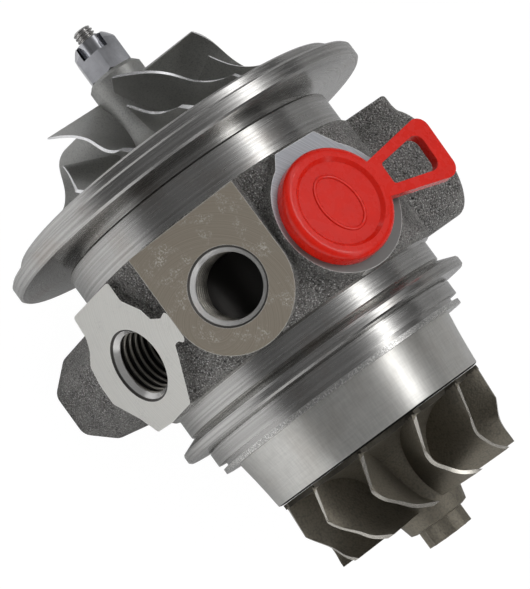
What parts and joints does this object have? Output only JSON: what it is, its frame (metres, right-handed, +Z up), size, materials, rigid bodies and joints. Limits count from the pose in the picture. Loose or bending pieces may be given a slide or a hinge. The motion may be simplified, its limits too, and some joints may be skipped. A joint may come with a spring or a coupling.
{
  "type": "turbocharger cartridge",
  "caption": "Water-cooled turbocharger centre cartridge: cast bearing housing with a round backplate, shaft with a compressor wheel and a turbine wheel, heat shield and a capped oil inlet.",
  "frame": {"origin": "on the shaft axis, in the shoulder of the backplate where the compressor housing seats", "axes": "+X along the shaft towards the turbine wheel, +Z up out of the oil inlet, oil drain towards -Z"},
  "size_m": [0.12, 0.0824, 0.0835],
  "materials": {
    "cast_housing": "rough cast with turned and milled faces",
    "turned_steel": "turned",
    "spring_steel": "satin",
    "sheet_steel": "satin",
    "shield_sheet": "satin sheet",
    "bearing_bronze": "turned",
    "ring_iron": "ground",
    "cast_aluminium": "dark cast with machined blade edges",
    "cast_alloy": "brown-grey cast with ground blade edges",
    "seal_rubber": "matte",
    "red_plastic": "glossy"
  },
  "bodies": {
    "housing": {"bearing_housing": "cast_housing", "seal_plate": "turned_steel", "seal_plate_o_ring": "seal_rubber", "seal_plate_snap_ring": "spring_steel", "oil_deflector": "sheet_steel", "thrust_bearing": "bearing_bronze", "thrust_pins": "spring_steel", "compressor_piston_ring": "ring_iron", "turbine_piston_ring": "ring_iron", "bearing_snap_ring_1": "spring_steel", "bearing_snap_ring_2": "spring_steel", "bearing_snap_ring_3": "spring_steel", "bearing_snap_ring_4": "spring_steel", "heat_shield": "shield_sheet"},
    "rotor": {"rotor_shaft": "turned_steel", "compressor_wheel": "cast_aluminium", "turbine_wheel": "cast_alloy", "lock_nut": "turned_steel", "thrust_collar": "turned_steel", "seal_sleeve": "turned_steel"},
    "journal_compressor": {"journal_bearing_compressor": "bearing_bronze"},
    "journal_turbine": {"journal_bearing_turbine": "bearing_bronze"},
    "cap": {"oil_inlet_cap": "red_plastic"}
  },
  "joints": [
    {"name": "rotor_spin", "type": "hinge", "parent": "housing", "child": "rotor", "pos_m": [0, 0, 0], "axis": [1, 0, 0], "continuous": true},
    {"name": "journal_compressor_float", "type": "hinge", "parent": "housing", "child": "journal_compressor", "pos_m": [0.0192, 0, 0], "axis": [1, 0, 0], "continuous": true},
    {"name": "journal_turbine_float", "type": "hinge", "parent": "housing", "child": "journal_turbine", "pos_m": [0.0447, 0, 0], "axis": [1, 0, 0], "continuous": true},
    {"name": "cap_pull", "type": "slide", "parent": "housing", "child": "cap", "axis": [0, 0, 1], "range_m": [0, 0.06]}
  ]
}
